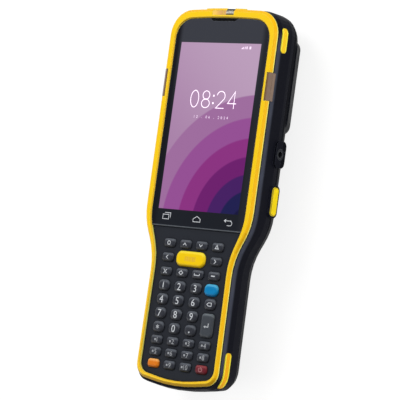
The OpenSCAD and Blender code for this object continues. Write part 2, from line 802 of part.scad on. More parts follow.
// Notch in the rim's outer edge, next to the second window
module status_notch() span([lens_cells[1][0] + cell_t, cell_y1, housing_z - over],
    [lens_cells[1][0] + lens_cells[1][1], top_y + side_bulge + over, face_z + over]);
module status_lens() color([0.85, 0.83, 0.8]) for (cell = lens_cells) status_cell(cell, 0);

earpiece_half_w = 10;
earpiece_h = 1.6;
earpiece_taper = 2.4;
earpiece_sink = 0.5;
earpiece_pitch = 1.5;
earpiece_hole_r = 0.35;
earpiece_y = glass_top_y - 0.3;
earpiece_gap = 0.1;
module earpiece_plan(extra) translate([0, earpiece_y]) polygon([
    [-earpiece_half_w - extra, 0], [earpiece_half_w + extra, 0],
    [earpiece_half_w - earpiece_taper + extra, -earpiece_h - extra],
    [-earpiece_half_w + earpiece_taper - extra, -earpiece_h - extra],
]);
module earpiece_grille() color([0.05, 0.05, 0.06]) difference() {
    slab(glass_z, glass_top_z - earpiece_sink) earpiece_plan(0);
    for (i = [-4:4]) translate([i * earpiece_pitch, earpiece_y - earpiece_h / 2, 0])
        cylinder_between(glass_top_z - earpiece_sink - 0.5, glass_top_z, earpiece_hole_r, $fn = 16);
}

glass_bevel = 0.35;
module glass_plan(inset) difference() {
    polygon(flat(inner_half, -gap - inset));
    below(step_y + gap + inset);
}
module display_glass() color([0.2, 0.21, 0.25]) difference() {
    hull() {
        slab(glass_z, glass_top_z - glass_bevel) glass_plan(0);
        slab(glass_z, glass_top_z) glass_plan(glass_bevel);
    }
    slab(glass_z - over, glass_top_z + over) {
        earpiece_plan(earpiece_gap);
        // Slot above the earpiece, open at the glass's edge
        translate([-earpiece_half_w - earpiece_gap, earpiece_y - eps])
            square([2 * (earpiece_half_w + earpiece_gap), earpiece_h]);
    }
}
// Frame round the picture at its sides, and above and below
display_frame = [1.4, 1.9];
display_gap = 0.3;
module display_plan(extra) translate([0, display_y])
    square([display_w, display_h] + 2 * (display_frame + [extra, extra]), center = true);
module display_panel() color([0.6, 0.45, 0.6]) slab(display_z, glass_z) display_plan(0);

// Size [width, height, radius] of each kind of key
function key_size(kind) =
    kind == "scan" ? [20.2, 8.5, 3.6]
    : kind == "blue" ? [9.4, 6.6, 2.9]
    : kind == "enter" ? [8.6, 13.2, 2.2]
    : kind == "number" ? [7.6, 6.1, 2.6]
    : [key_w, key_h, 1.7];
function key_color(kind) =
    kind == "scan" ? [0.98, 0.8, 0.04]
    : kind == "blue" ? [0, 0.5, 0.74]
    : kind == "orange" ? [0.9, 0.5, 0.12]
    : kind == "power" ? [0.66, 0.2, 0.2]
    : [0.24, 0.26, 0.29];
module at_key(key) translate([column_x(key[1]), row_y(key[2]), 0]) children();

module keypad_panel() color([0.18, 0.19, 0.23]) slab(panel_z, panel_top_z) difference() {
    polygon(flat(inner_half, -gap));
    above(step_y - gap);
    for (key = key_table) at_key(key) {
        size = key_size(key[3]);
        rounded(size[0] + 2 * gap, size[1] + 2 * gap, size[2] + gap);
    }
}

crown_steps = 3;
// Depth and inset of the crown's two steps
crown_t = 0.75;
crown_edge_t = 0.2;
crown_inset = [1.35, 0.6];
// Rounded rectangle as a clockwise loop at height z, moved in by inset
function key_loop(size, z, inset) =
    let (x = size[0] / 2 - size[2], y = size[1] / 2 - size[2], r = size[2] - inset)
    [for (q = [0:3], i = [0:crown_steps])
        let (a = 90 - 90 * q - 90 * i / crown_steps)
        [(q < 2 ? x : -x) + r * cos(a), (q == 0 || q == 3 ? y : -y) + r * sin(a), z]];
module key(entry) color(key_color(entry[3])) {
    size = key_size(entry[3]);
    crown_z = key_top_z - crown_t;
    at_key(entry) {
        slab(key_flange_z, key_flange_z + key_flange_t)
            rounded(size[0] + 2 * key_flange_w, size[1] + 2 * key_flange_w, size[2] + key_flange_w);
        slab(key_flange_z, crown_z) rounded(size[0], size[1], size[2]);
        skin([
            key_loop(size, key_top_z, crown_inset[0]),
            key_loop(size, key_top_z - crown_edge_t, crown_inset[1]),
            key_loop(size, crown_z - eps, 2 * eps),
        ]);
    }
}

module keypad_mat() color([0.6, 0.62, 0.64]) {
    slab(mat_z, mat_z + mat_t) mat_plan();
    for (entry = key_table) at_key(entry)
        translate([0, 0, mat_z + mat_t - eps])
            cylinder(h = dome_top_z - mat_z - mat_t + eps, r1 = dome_foot_r, r2 = dome_top_r);
}
dome_foot_r = 1.7;
dome_top_r = 1.1;
mat_gap = 0.3;
mat_inset = panel_ledge + mat_gap;
module mat_plan() intersection() {
    polygon(flat(inner_half, -mat_inset));
    below(step_y - mat_inset);
}

module main_board() color([0.05, 0.32, 0.2]) slab(board_z, board_z + board_t) difference() {
    polygon(flat(rim_half, side_bulge - wall - board_side_gap));
    above(scan_engine_y - over);
    for (p = [upper_screw, middle_screw, lower_screw], x = [-1, 1])
        translate([x * p[0], p[1]]) circle(screw_boss_r + board_boss_gap);
}
board_side_gap = 0.6;
board_boss_gap = 0.4;

scan_engine_size = [21.5, 13.5, 11.2];
scan_reach = 4;
scan_eye_r = 2.6;
scan_eye_x = 5.5;
scan_eye_depth = 2;
scan_engine_y = window_y - scan_reach - scan_engine_size[1];
module scan_engine() color([0.3, 0.31, 0.33]) difference() {
    translate([-scan_engine_size[0] / 2, scan_engine_y, deck_z - board_gap - scan_engine_size[2]])
        cube(scan_engine_size);
    both_sides() translate([scan_eye_x, scan_engine_y + scan_engine_size[1] - scan_eye_depth, window_z])
        rotate([-90, 0, 0]) cylinder(h = scan_reach, r = scan_eye_r);
}
module scan_window() color([0.25, 0.05, 0.07])
    end_prism(window_y, window_y + window_t, window_w, window_h, window_r);

module camera_module() color([0.08, 0.08, 0.1]) translate([0, camera_y, 0]) rotate_extrude() polygon([
    [0, camera_top_z], [0, camera_glass_z[0]], [camera_glass_r, camera_glass_z[1]],
    [camera_ring_r, camera_sink], [camera_r, camera_sink], [camera_r, camera_top_z],
]);

module headset_socket() color([0.06, 0.06, 0.07]) translate([0, jack_y, jack_z]) difference() {
    along_x(side_x - jack_depth - over / 2, side_x + boss_rise - socket_sink, jack_r + jack_wall);
    along_x(side_x + boss_rise - socket_sink - jack_depth, side_x + boss_rise + over, jack_r);
}

// A trigger on the right; its flange sits behind the wall
module trigger() color([0.98, 0.8, 0.04]) translate([0, trigger_y, trigger_z]) {
    cap_x = side_x + trigger_rise - trigger_cap_t;
    side_prism(trigger_x - trigger_flange_t, trigger_x,
        trigger_h + 2 * trigger_flange, trigger_l + 2 * trigger_flange, trigger_flange_r);
    side_prism(trigger_x - eps, cap_x, trigger_h, trigger_l, trigger_r);
    side_prism(cap_x - eps, cap_x + trigger_cap_t,
        trigger_h - 2 * trigger_cap_t, trigger_l - 2 * trigger_cap_t, trigger_r - trigger_cap_t);
}
module right_trigger() trigger();
module left_trigger() mirror([1, 0, 0]) trigger();

module housing_screws() color("silver") at_screws() {
    cylinder_between(screw_seat_z - screw_head_t, screw_seat_z, screw_head_r);
    cylinder_between(screw_seat_z - eps, screw_top_z, screw_r);
}

module corner_inserts() color([0.98, 0.8, 0.04]) {
    insert_band(upper_insert, 0);
    insert_band(lower_insert, 0);
}

front_housing();
rear_housing();
bumper_rim();
corner_inserts();
side_lenses();
status_lens();
earpiece_grille();
display_glass();
display_panel();
keypad_panel();
keypad_mat();
main_board();
battery_pack();
battery_door();
hinge_pin();
left_trigger();
right_trigger();
scan_engine();
scan_window();
camera_module();
headset_socket();
housing_screws();
for (entry = key_table) key(entry);
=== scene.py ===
"""Looks of the barcode data terminal: materials, key legends, screen content, light and camera."""
import math

import bmesh
import bpy
from mathutils import Matrix, Vector


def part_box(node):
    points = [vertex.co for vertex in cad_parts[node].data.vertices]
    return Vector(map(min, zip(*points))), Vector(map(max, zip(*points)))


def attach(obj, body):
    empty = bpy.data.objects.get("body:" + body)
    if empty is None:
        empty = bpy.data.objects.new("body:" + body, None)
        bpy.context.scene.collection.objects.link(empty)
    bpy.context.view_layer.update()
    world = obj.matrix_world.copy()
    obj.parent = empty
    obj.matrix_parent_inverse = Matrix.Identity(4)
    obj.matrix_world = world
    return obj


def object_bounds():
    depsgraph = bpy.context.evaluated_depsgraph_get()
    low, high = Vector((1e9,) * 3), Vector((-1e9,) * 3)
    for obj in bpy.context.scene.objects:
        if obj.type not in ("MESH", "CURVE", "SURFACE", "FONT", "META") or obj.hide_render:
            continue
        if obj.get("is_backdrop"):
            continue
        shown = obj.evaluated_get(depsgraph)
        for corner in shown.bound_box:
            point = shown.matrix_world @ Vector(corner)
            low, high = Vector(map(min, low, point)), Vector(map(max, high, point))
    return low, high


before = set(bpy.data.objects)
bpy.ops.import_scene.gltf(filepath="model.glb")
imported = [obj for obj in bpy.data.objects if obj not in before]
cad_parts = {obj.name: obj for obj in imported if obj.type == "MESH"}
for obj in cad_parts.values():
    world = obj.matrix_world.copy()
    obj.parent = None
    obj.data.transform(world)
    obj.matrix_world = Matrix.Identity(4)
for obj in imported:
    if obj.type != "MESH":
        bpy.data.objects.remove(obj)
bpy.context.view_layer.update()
MM = 0.001


# ---- Shader helpers --------------------------------------------------------------------

NODE_SAMPLES = 4
EDGE_CONTRAST = 5.0


def srgb(r, g, b):
    """Linear colour from display values of 0 to 255."""
    def linear(v):
        v /= 255
        return v / 12.92 if v <= 0.04045 else ((v + 0.055) / 1.055) ** 2.4
    return (linear(r), linear(g), linear(b), 1.0)


def scaled(color, factor):
    """Colour made lighter or darker by factor."""
    return tuple(min(1.0, c * factor) for c in color[:3]) + (1.0,)


class Shader:
    """A node material, built up by short calls. Values are numbers, colours or other nodes' sockets."""

    def __init__(self, name):
        self.material = bpy.data.materials.new(name)
        self.material.use_nodes = True
        self.tree = self.material.node_tree
        self.tree.nodes.clear()
        self.output = self.tree.nodes.new("ShaderNodeOutputMaterial")
        self.place = self.node("ShaderNodeTexCoord").outputs["Object"]

    def node(self, kind, **settings):
        """A new node of that kind, with its settings."""
        made = self.tree.nodes.new(kind)
        for key, value in settings.items():
            setattr(made, key, value)
        return made

    def put(self, socket, value):
        """Link a socket to another node's socket, or set its number or colour."""
        if isinstance(value, bpy.types.NodeSocket):
            self.tree.links.new(value, socket)
        else:
            socket.default_value = value

    def math(self, operation, a, b=0.0, c=0.0, clamp=False):
        """Result of one sum; MULTIPLY_ADD gives a * b + c."""
        made = self.node("ShaderNodeMath", operation=operation, use_clamp=clamp)
        for socket, value in zip(made.inputs, (a, b, c)):
            self.put(socket, value)
        return made.outputs[0]

    def times(self, a, b):
        """The product of a and b."""
        return self.math("MULTIPLY", a, b)

    def distance(self, x, y, centre):
        """Distance of the point x, y from centre."""
        squares = [self.math("POWER", self.math("ABSOLUTE", self.math("SUBTRACT", at, middle)), 2.0)
                   for at, middle in zip((x, y), centre)]
        return self.math("SQRT", self.math("ADD", *squares))

    def mix(self, factor, a, b):
        """Colour a where factor is 0, and b where it is 1."""
        made = self.node("ShaderNodeMix", data_type="RGBA")
        self.put(made.inputs["Factor"], factor)
        self.put(made.inputs["A"], a)
        self.put(made.inputs["B"], b)
        return made.outputs["Result"]

    def ramp(self, value, stops):
        """Colour of value between stops, which are pairs of a position and a colour."""
        made = self.node("ShaderNodeValToRGB")
        elements = made.color_ramp.elements
        while len(elements) < len(stops):
            elements.new(1.0)
        for element, (position, color) in zip(elements, stops):
            element.position = position
            element.color = color
        self.put(made.inputs[0], value)
        return made.outputs["Color"]

    def smooth(self, value, low, high):
        """0 at low and 1 at high, with a soft step between. High may be the smaller one."""
        made = self.node("ShaderNodeMapRange", interpolation_type="SMOOTHSTEP")
        self.put(made.inputs["Value"], value)
        made.inputs["From Min"].default_value = low
        made.inputs["From Max"].default_value = high
        return made.outputs["Result"]

    def noise(self, size, detail=2.0, roughness=0.5, stretch=(1, 1, 1)):
        """Noise whose features measure about size metres."""
        place = self.node("ShaderNodeMapping")
        self.put(place.inputs["Vector"], self.place)
        place.inputs["Scale"].default_value = stretch
        made = self.node("ShaderNodeTexNoise")
        self.put(made.inputs["Vector"], place.outputs[0])
        made.inputs["Scale"].default_value = 1 / size
        made.inputs["Detail"].default_value = detail
        made.inputs["Roughness"].default_value = roughness
        return made.outputs["Fac"]

    def split(self, vector):
        """The three components of a vector."""
        made = self.node("ShaderNodeSeparateXYZ")
        self.put(made.inputs[0], vector)
        return made.outputs

    def axes(self):
        """Place on the object: to the right, towards the top end, and up."""
        return self.split(self.place)

    def facing(self):
        """The surface's normal, in the same three directions."""
        return self.split(self.node("ShaderNodeNewGeometry").outputs["True Normal"])

    def soft_edges(self, radius):
        """Normals that round each sharp edge by radius metres."""
        made = self.node("ShaderNodeBevel", samples=NODE_SAMPLES)
        made.inputs["Radius"].default_value = radius
        return made.outputs["Normal"]

    def edge_mask(self, rounded):
        """1 along the edges that soft_edges rounds and 0 on flat faces."""
        flat = self.node("ShaderNodeNewGeometry").outputs["Normal"]
        dot = self.node("ShaderNodeVectorMath", operation="DOT_PRODUCT")
        self.put(dot.inputs[0], rounded)
        self.put(dot.inputs[1], flat)
        bend = self.math("SUBTRACT", 1.0, dot.outputs["Value"])
        return self.math("MULTIPLY", bend, EDGE_CONTRAST, clamp=True)

    def corner_shade(self, reach):
        """1 in the open and less in corners, within reach metres of other faces."""
        made = self.node("ShaderNodeAmbientOcclusion", samples=NODE_SAMPLES)
        made.inputs["Distance"].default_value = reach
        return made.outputs["AO"]

    def bump(self, height, distance, strength, normal=None):
        """Normals of a relief distance metres deep, on the surface or on the given normals."""
        made = self.node("ShaderNodeBump")
        made.inputs["Distance"].default_value = distance
        made.inputs["Strength"].default_value = strength
        self.put(made.inputs["Height"], height)
        if normal is not None:
            self.put(made.inputs["Normal"], normal)
        return made.outputs["Normal"]

    def surface(self, **inputs):
        """The finished material; an input's name has _ for each space."""
        shader = self.node("ShaderNodeBsdfPrincipled")
        for key, value in inputs.items():
            self.put(shader.inputs[key.replace("_", " ")], value)
        self.tree.links.new(shader.outputs[0], self.output.inputs["Surface"])
        return self.material


# ---- Moulded plastic ---------------------------------------------------------------------

# Sizes of the patches in which colour and gloss drift, and how far the gloss does
DRIFT_SIZE = 14 * MM
SMUDGE_SIZE = 6 * MM
SMUDGE_RANGE = (0.35, 0.7)
GLOSS_DRIFT = 0.1
# Spark grain: how far it shows in the colour, and how far it bends the surface
GRAIN_SHARE = 0.25
GRAIN_RELIEF = 0.5
# Lighter and darker tones of a colour: for the grain, for edges that are partly rubbed and partly painted
# highlight, and for painted shade on slanted faces and flanks that look towards the foot and in corners
GRAIN_TONE = 1.25
EDGE_TONE = 1.5
FOOTWARD_TONE = 0.55
FLANK_TONE = 0.4
CORNER_TONE = 0.25
# Heights of the normal between which a face comes to count as slanted or as upright, for the painted light
# by facing
SLANTED_FROM_UPRIGHT = (0.25, 0.4)
SLANTED_FROM_LEVEL = (0.99, 0.96)
UPRIGHT = (0.25, 0.1)
# Its lengthwise component, between which a face comes to count as looking towards the foot and takes painted
# shade
FOOTWARD = (-0.15, -0.45)
# Keys: radius of the rounded flanks, the slope over which they take their painted highlight and shade, and
# how far
CROWN_REACH = 1.4 * MM
CROWN_SLOPE = (0.02, 0.5)
LIT_FLANK = 0.8
DARK_FLANK = 0.9
# Inserts: width of the pale borders of painted highlight, and the share of it over which they fade in
RAIL = 1.1 * MM
RAIL_FADE = 0.4
# Openness up to which corners take painted shade, and from which on they don't
CORNER_RANGE = (0.4, 0.95)
# Heights and lengthwise places between which the painted highlight strip below the rim fades in and out
rim_low, rim_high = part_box("bumper_rim")
BAND_FOOT = (rim_low.z - 4.4 * MM, rim_low.z - 2.4 * MM)
BAND_TOP = (rim_low.z - 0.4 * MM, rim_low.z - 1.2 * MM)
BAND_START = (rim_low.y + 4 * MM, rim_low.y + 12 * MM)
BAND_END = (rim_high.y - 10 * MM, rim_high.y - 20 * MM)
# The strip's least strength, and how much its patches add
BAND_PATCHES = (0.4, 0.6)
# Lengthwise places between which the inserts take the colour that they have beside the display
HEAD_START = (0.0, 10 * MM)


def painted_facing_light(s, tone, slanted_color, upright_color):
    """Painted light by facing: slanted faces in one colour, with painted shade where they look towards the
    foot; upright ones in another, as a painted highlight.
    """
    _, toward_top, up = s.facing()
    slanted = s.times(s.smooth(up, *SLANTED_FROM_UPRIGHT), s.smooth(up, *SLANTED_FROM_LEVEL))
    tone = s.mix(slanted, tone, slanted_color)
    painted_footward_shade = s.times(slanted, s.smooth(toward_top, *FOOTWARD))
    tone = s.mix(painted_footward_shade, tone, scaled(slanted_color, FOOTWARD_TONE))
    return s.mix(s.smooth(up, *UPRIGHT), tone, upright_color)


def painted_flank_light(s, tone, lit_color, dark_color):
    """Painted highlight on rounded flanks that look towards the top end, and painted shade on those towards
    the foot.
    """
    start, full = CROWN_SLOPE
    toward_top = s.split(s.soft_edges(CROWN_REACH))[1]
    tone = s.mix(s.times(s.smooth(toward_top, start, full), LIT_FLANK), tone, lit_color)
    return s.mix(s.times(s.smooth(toward_top, -start, -full), DARK_FLANK), tone, dark_color)


def painted_rail_highlight_mask(s, node):
    """1 along the node's upper and lower borders, which take a painted highlight."""
    low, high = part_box(node)
    off = s.math("ABSOLUTE", s.math("SUBTRACT", s.axes()[2], (low.z + high.z) / 2))
    half = (high.z - low.z) / 2
    return s.smooth(off, half - RAIL, half - (1 - RAIL_FADE) * RAIL)


def painted_sheen_mask(s, drift):
    """1 in the painted highlight strip below the rim, in patches."""
    _, along, height = s.axes()
    strip = s.times(s.smooth(height, *BAND_FOOT), s.smooth(height, *BAND_TOP))
    strip = s.times(strip, s.smooth(along, *BAND_END))
    strip = s.times(strip, s.smooth(along, *BAND_START))
    faintest, patches = BAND_PATCHES
    return s.times(strip, s.math("MULTIPLY_ADD", drift, patches, faintest))


def moulded(name, color, roughness, grain=0.25 * MM, grain_depth=0.03 * MM, specular=0.12, wear_and_highlight=None,
            edge=0.25 * MM, wear_and_highlight_share=0.6, spread=0.08, head=None, bevel=None, flank_highlight=None, highlight_rails=None,
            shade=0.0, painted_sheen=None):
    """Moulded plastic: fine spark grain, a slight drift of colour and gloss, and softened edges in a lighter
    colour that is partly rubbed and partly painted highlight.

    wear_and_highlight is the colour of the edges, partly rubbed and partly painted highlight, edge their
    radius, and wear_and_highlight_share how far they take that colour;
    spread is how far the colour drifts. The rest are for single materials:
    head   colour of what lies beside the display
    bevel  colour of slanted faces as painted light, with painted shade where they look towards the foot;
    upright ones take the wear_and_highlight colour as a painted highlight flank_highlight  colour of the
    painted highlight on rounded flanks that look towards the top end; those towards the foot take a darker
    painted shade highlight_rails  node whose upper and lower borders take the wear_and_highlight colour as a
    painted highlight shade  distance in metres from other faces within which corners take a painted shade
    painted_sheen  colour of a painted highlight strip below the rim
    """
    s = Shader(name)
    rounded = s.soft_edges(edge)
    drift = s.noise(DRIFT_SIZE, 3.0)
    fine = s.noise(grain, 1.0, 0.6)
    tone = s.mix(drift, scaled(color, 1 - spread), scaled(color, 1 + spread))
    tone = s.mix(s.times(fine, GRAIN_SHARE), tone, scaled(color, GRAIN_TONE))
    if head:
        tone = s.mix(s.smooth(s.axes()[1], *HEAD_START), tone, head)
    # Painted light by facing: slanted faces in their own colour with painted shade towards the foot, and a
    # painted highlight on upright ones
    if bevel:
        tone = painted_facing_light(s, tone, bevel, wear_and_highlight)
    # Edges in a lighter colour: partly rubbed plastic, partly painted highlight
    tone = s.mix(s.times(s.edge_mask(rounded), wear_and_highlight_share), tone, wear_and_highlight or scaled(color, EDGE_TONE))
    # Painted highlight on key flanks towards the top end, painted shade on those towards the foot
    if flank_highlight:
        tone = painted_flank_light(s, tone, flank_highlight, scaled(color, FLANK_TONE))
    # Painted highlight along the inserts' upper and lower borders
    if highlight_rails:
        tone = s.mix(painted_rail_highlight_mask(s, highlight_rails), tone, wear_and_highlight)
    # Painted shade in corners beside other faces
    if shade:
        tone = s.mix(s.smooth(s.corner_shade(shade), *CORNER_RANGE), scaled(color, CORNER_TONE), tone)
    # Painted highlight strip below the rim
    if painted_sheen:
        tone = s.mix(painted_sheen_mask(s, drift), tone, painted_sheen)
    smudge = s.smooth(s.noise(SMUDGE_SIZE, 4.0, 0.6), *SMUDGE_RANGE)
    return s.surface(
        Base_Color=tone,
        Roughness=s.math("ADD", roughness - GLOSS_DRIFT / 2, s.times(smudge, GLOSS_DRIFT)),
        Specular_IOR_Level=specular,
        Normal=s.bump(fine, grain_depth, GRAIN_RELIEF, rounded),
    )


KEY_EDGE = 0.4 * MM
COLORED_KEY_EDGE = 0.6 * MM
# Edge colours below are partly rubbed plastic and partly painted highlight; key flanks, insert borders, the
# bumper's faces and the housing's strip below the rim take painted light, and corners take painted shade
materials = {
    "housing": moulded("housing_black", srgb(18, 19, 27), 0.45, specular=0.02, wear_and_highlight=srgb(84, 88, 100),
                       painted_sheen=srgb(80, 84, 98)),
    "rear": moulded("housing_rear", srgb(14, 15, 21), 0.4, specular=0.01, wear_and_highlight=srgb(76, 80, 90)),
    "bumper": moulded("bumper_yellow", srgb(254, 204, 8), 0.4, grain=0.4 * MM, wear_and_highlight=srgb(255, 246, 120),
                      edge=0.6 * MM, wear_and_highlight_share=0.9, spread=0.04, bevel=srgb(250, 190, 0)),
    "insert": moulded("insert_yellow", srgb(250, 176, 0), 0.4, grain=0.4 * MM, wear_and_highlight=srgb(255, 240, 60),
                      edge=0.7 * MM, wear_and_highlight_share=0.9, spread=0.05, highlight_rails="corner_inserts",
                      head=srgb(250, 204, 20)),
    "trigger": moulded("trigger_yellow", srgb(255, 218, 0), 0.34, wear_and_highlight=srgb(255, 240, 90),
                       edge=0.6 * MM, spread=0.03, shade=0.9 * MM),
    "panel": moulded("keypad_grey", srgb(36, 39, 46), 0.5, specular=0.06, wear_and_highlight=srgb(78, 82, 92),
                     shade=3.4 * MM),
    "key": moulded("key_grey", srgb(38, 41, 50), 0.3, specular=0.16, wear_and_highlight=srgb(96, 100, 108),
                   edge=KEY_EDGE, wear_and_highlight_share=0.5, flank_highlight=srgb(98, 103, 112)),
    "key_pale": moulded("key_enter_grey", srgb(56, 61, 68), 0.3, specular=0.16, wear_and_highlight=srgb(104, 110, 116),
                        edge=KEY_EDGE, wear_and_highlight_share=0.5, flank_highlight=srgb(108, 116, 122)),
    "key_yellow": moulded("key_yellow", srgb(248, 204, 4), 0.35, specular=0.08, wear_and_highlight=srgb(255, 240, 90),
                          edge=COLORED_KEY_EDGE, wear_and_highlight_share=0.5, spread=0.04, flank_highlight=srgb(255, 236, 70)),
    "key_blue": moulded("key_blue", srgb(0, 126, 184), 0.3, specular=0.1, wear_and_highlight=srgb(60, 170, 215),
                        edge=COLORED_KEY_EDGE, spread=0.05, flank_highlight=srgb(90, 190, 228)),
    "key_orange": moulded("key_orange", srgb(222, 120, 18), 0.3, specular=0.1, wear_and_highlight=srgb(245, 170, 80),
                          edge=COLORED_KEY_EDGE, spread=0.05, flank_highlight=srgb(255, 190, 110)),
    "key_red": moulded("key_red", srgb(104, 24, 36), 0.35, wear_and_highlight=srgb(130, 56, 60),
                       edge=COLORED_KEY_EDGE, spread=0.05, flank_highlight=srgb(150, 70, 74)),
    "trim": moulded("trim_black", srgb(5, 5, 7), 0.35, specular=0.05),
    "socket": moulded("socket_black", srgb(26, 28, 34), 0.3, wear_and_highlight=srgb(126, 129, 136), edge=0.4 * MM,
                      wear_and_highlight_share=0.8),
    "silicone": moulded("silicone_grey", srgb(150, 154, 158), 0.7, grain=0.5 * MM),
    "battery": moulded("battery_grey", srgb(52, 56, 64), 0.55),
    "engine": moulded("engine_grey", srgb(120, 124, 130), 0.4, grain=0.6 * MM),
    "window": moulded("window_red", srgb(66, 2, 9), 0.12, grain_depth=0.002 * MM, specular=0.06,
                      wear_and_highlight=srgb(120, 30, 34), edge=0.5 * MM, wear_and_highlight_share=0.8),
}


# ---- Metal, circuit board and windows ------------------------------------------------------

def steel():
    """Steel, brushed lengthwise."""
    s = Shader("steel")
    brushed = s.noise(0.15 * MM, 2.0, 0.6, (1, 12, 1))
    return s.surface(
        Base_Color=s.mix(brushed, srgb(150, 152, 156), srgb(196, 198, 202)), Metallic=1.0,
        Roughness=s.math("ADD", 0.22, s.times(brushed, 0.2)),
        Normal=s.bump(brushed, 0.01 * MM, 0.3))


def board():
    """Solder mask with fine traces and small pads."""
    pad_pitch, trace_pitch = 3.2 * MM, 1.6 * MM
    s = Shader("board_green")
    x = s.axes()[0]
    cells = s.node("ShaderNodeTexVoronoi", feature="F1", distance="CHEBYCHEV")
    s.put(cells.inputs["Vector"], s.place)
    cells.inputs["Scale"].default_value = 1 / pad_pitch
    pads = s.smooth(cells.outputs["Distance"], 0.16, 0.12)
    wave = s.math("SINE", s.times(x, 2 * math.pi / trace_pitch))
    lines = s.smooth(s.math("ABSOLUTE", wave), 0.94, 0.98)
    tone = s.mix(lines, srgb(8, 74, 46), srgb(20, 110, 70))
    return s.surface(Base_Color=s.mix(pads, tone, srgb(190, 160, 90)), Roughness=0.35,
                     Metallic=s.times(pads, 0.8))


def lens_brown():
    """Smoked windows in the rim: browner where they meet the rim's top, and dark along their edges."""
    s = Shader("lens_brown")
    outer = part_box("side_lenses")[1].x
    depth = s.smooth(s.math("ABSOLUTE", s.axes()[0]), outer - 2.6 * MM, outer - 1.4 * MM)
    cloud = s.noise(3 * MM, 3.0)
    rounded = s.soft_edges(0.4 * MM)
    tone = s.mix(depth, srgb(116, 74, 34), srgb(142, 120, 104))
    tone = s.mix(s.times(cloud, 0.5), tone, srgb(104, 80, 66))
    tone = s.mix(s.edge_mask(rounded), tone, srgb(58, 38, 22))
    return s.surface(Base_Color=tone, Roughness=0.3, Specular_IOR_Level=0.15, Normal=rounded)


def lens_status():
    """Two windows of the status light: a peach one and a silvery one."""
    s = Shader("lens_status")
    x, y, _ = s.axes()
    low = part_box("status_lens")[0]
    fine = s.noise(0.8 * MM, 2.0)
    foot = s.smooth(y, low.y + 1.2 * MM, low.y + 0.4 * MM)
    silver = s.mix(s.smooth(fine, 0.4, 0.65), srgb(160, 154, 138), srgb(222, 218, 206))
    silver = s.mix(foot, silver, srgb(84, 70, 40))
    peach = s.mix(s.smooth(x, low.x + 1 * MM, low.x + 6 * MM), srgb(254, 204, 84), srgb(218, 158, 88))
    peach = s.mix(s.times(fine, 0.5), peach, srgb(248, 206, 110))
    return s.surface(Base_Color=s.mix(s.smooth(x, 0.5 * MM, 1.3 * MM), peach, silver), Roughness=0.3,
                     Specular_IOR_Level=0.2, Normal=s.soft_edges(0.2 * MM))


def camera_glass():
    """Lens: coated glass with a dark pupil, and a rougher ring round it."""
    s = Shader("camera_glass")
    low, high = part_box("camera_module")
    centre = (low + high) / 2
    x, y, _ = s.axes()
    away = s.distance(x, y, centre)
    # Rings from the centre out, as shares of the module's radius
    rings = s.ramp(s.math("DIVIDE", away, high.x - centre.x), [
        (0.0, srgb(2, 2, 4)), (0.16, srgb(4, 6, 16)), (0.3, srgb(20, 28, 60)), (0.4, srgb(12, 12, 20)),
        (0.5, srgb(30, 31, 34)), (0.96, srgb(22, 23, 26)), (1.0, srgb(60, 62, 66))])
    return s.surface(Base_Color=rings, Coat_Weight=1.0, Coat_Roughness=0.03,
                     Roughness=s.smooth(away, 1.8 * MM, 2.8 * MM), Normal=s.soft_edges(0.2 * MM))


# ---- Screen: a generic picture of wide rings that spread from a lower corner ----------------

panel_low, panel_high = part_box("display_panel")
glass_low, glass_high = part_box("display_glass")
PICTURE_MARGIN = (1.4 * MM, 1.9 * MM)
PICTURE_W = panel_high.x - panel_low.x - 2 * PICTURE_MARGIN[0]
PICTURE_H = panel_high.y - panel_low.y - 2 * PICTURE_MARGIN[1]
PICTURE_MIDDLE = (panel_low.y + panel_high.y) / 2
PICTURE_EDGE = 0.1 * MM
DARK = (0.0, 0.0, 0.0, 1.0)
# Field behind the rings: its two colours, how fast the second one comes in across and upwards, and
# where it is full
FIELD = (srgb(170, 130, 170), srgb(190, 160, 190))
FIELD_ACROSS, FIELD_UP, FIELD_FULL = 0.5, 0.6, 1.2
# The rings' centre, from the middle of the picture's lower edge, and the rings from the outermost in:
# radius and colour. Lengths are shares of the picture's width.
RING_CENTRE = (0.62, -0.12)
RINGS = [
    (1.3, srgb(160, 110, 160)), (1.08, srgb(150, 80, 150)), (0.88, srgb(140, 50, 130)),
    (0.7, srgb(110, 30, 110)), (0.53, srgb(70, 30, 100)), (0.37, srgb(30, 30, 80)),
    (0.22, srgb(20, 20, 60)),
]
RING_EDGE = 0.02


def ring_picture(s, x, y):
    """Colours of the picture on the screen."""
    u = s.math("DIVIDE", x, PICTURE_W)
    v = s.math("DIVIDE", s.math("SUBTRACT", y, PICTURE_MIDDLE - PICTURE_H / 2), PICTURE_W)
    slant = s.math("MULTIPLY_ADD", u, FIELD_ACROSS, s.times(v, FIELD_UP))
    picture = s.mix(s.smooth(slant, 0.0, FIELD_FULL), *FIELD)
    away = s.distance(u, v, RING_CENTRE)
    for radius, color in RINGS:
        picture = s.mix(s.smooth(away, radius, radius - RING_EDGE), picture, color)
    return picture


